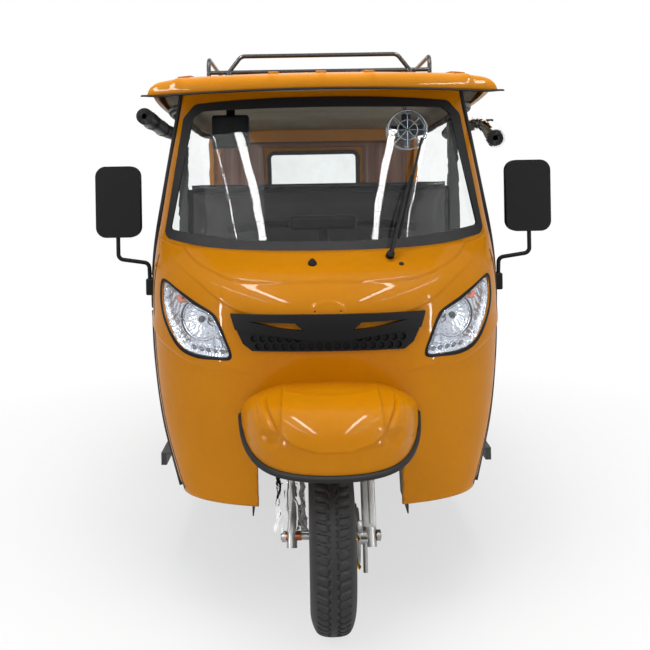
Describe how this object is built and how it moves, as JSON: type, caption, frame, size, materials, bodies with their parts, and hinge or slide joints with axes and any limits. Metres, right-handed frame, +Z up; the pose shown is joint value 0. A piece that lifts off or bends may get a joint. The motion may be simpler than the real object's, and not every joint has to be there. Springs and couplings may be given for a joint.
{
  "type": "auto rickshaw",
  "caption": "Open-sided three-wheeled passenger taxi with a wrapped front cowl, raked steering fork, hard roof with luggage rack, bench seats and enclosed rear engine bay.",
  "frame": {"origin": "middle of the vehicle's overall box, on the ground", "axes": "+Y to the rear of the vehicle (its front faces -Y), +Z up, +X to the right of someone who looks at its front"},
  "size_m": [1.556, 3.0517, 1.845],
  "materials": {
    "body_paint": "glossy amber yellow enamel",
    "black_paint": "satin black enamel",
    "black_plastic": "grained black moulding",
    "rubber": "soft black extrusion",
    "tyre": "worn black tread",
    "wheel_paint": "silver enamel",
    "fork_metal": "zinc plated and painted steel",
    "rack_tube": "gloss black tube",
    "glass": "slightly tinted clear glass",
    "lamp_lens": "clear moulded lens",
    "tail_lens": "red moulded lens",
    "mirror_glass": "silvered glass",
    "seat_cover": "black leatherette",
    "curtain_cloth": "rolled black coated cloth",
    "engine_metal": "bare cast metal",
    "fan_metal": "plated wire",
    "fan_plastic": "moulded blade"
  },
  "bodies": {
    "body": {"front_cowl": "body_paint", "windscreen_surround": "body_paint", "window_glasses": "glass", "window_seals": "rubber", "rubber_edging": "rubber", "front_mudguard": "body_paint", "wheel_arch_liner": "black_plastic", "grille": "black_plastic", "headlamp_housings": "black_plastic", "headlamp_lenses": "lamp_lens", "sun_visor": "black_plastic", "roof_shell": "body_paint", "roof_rack": "rack_tube", "curtain_roll_left": "curtain_cloth", "curtain_roll_right": "curtain_cloth", "body_posts": "black_paint", "meter_box": "black_plastic", "mirrors": "black_plastic", "mirror_glasses": "mirror_glass", "wiper": "black_paint", "head_tube": "black_paint", "side_panel_right": "body_paint", "side_panel_left": "body_paint", "wheel_tubs": "black_paint", "rear_wall": "body_paint", "frame_rails": "black_paint", "frame_crossmembers": "black_paint", "floor_pan": "black_paint", "seat_bases": "black_paint", "rear_seat_cushion": "seat_cover", "rear_seat_backrest": "seat_cover", "driver_seat_cushion": "seat_cover", "driver_seat_backrest": "seat_cover", "partition_panel": "body_paint", "dashboard": "black_plastic", "engine_block": "engine_metal", "rear_axle": "engine_metal", "exhaust": "engine_metal", "rear_bumper": "rack_tube", "tail_lamps": "tail_lens", "fan_guard": "fan_metal"},
    "steering": {"fork": "fork_metal", "handlebar": "black_plastic"},
    "front_wheel": {"front_tyre": "tyre", "front_rim": "wheel_paint"},
    "rear_wheel_right": {"rear_tyre_right": "tyre", "rear_rim_right": "wheel_paint"},
    "rear_wheel_left": {"rear_tyre_left": "tyre", "rear_rim_left": "wheel_paint"},
    "fan_rotor": {"fan_blades": "fan_plastic"},
    "engine_lid": {"engine_lid": "body_paint"}
  },
  "joints": [
    {"name": "steering_turn", "type": "hinge", "parent": "body", "child": "steering", "pos_m": [0, -0.90888, 0.8], "axis": [0, 0.3746, 0.9272], "range_deg": [-38, 38]},
    {"name": "front_wheel_spin", "type": "hinge", "parent": "steering", "child": "front_wheel", "pos_m": [0, -1.165, 0.2725], "axis": [1, 0, 0], "continuous": true},
    {"name": "rear_wheel_right_spin", "type": "hinge", "parent": "body", "child": "rear_wheel_right", "pos_m": [0.53, 0.915, 0.2725], "axis": [1, 0, 0], "continuous": true},
    {"name": "rear_wheel_left_spin", "type": "hinge", "parent": "body", "child": "rear_wheel_left", "pos_m": [-0.53, 0.915, 0.2725], "axis": [1, 0, 0], "continuous": true},
    {"name": "fan_spin", "type": "hinge", "parent": "body", "child": "fan_rotor", "pos_m": [0.311, -0.7, 1.542], "axis": [0, 1, 0], "continuous": true},
    {"name": "engine_lid_hinge", "type": "hinge", "parent": "body", "child": "engine_lid", "pos_m": [0, 1.444, 0.943], "axis": [1, 0, 0], "range_deg": [0, 75]}
  ]
}
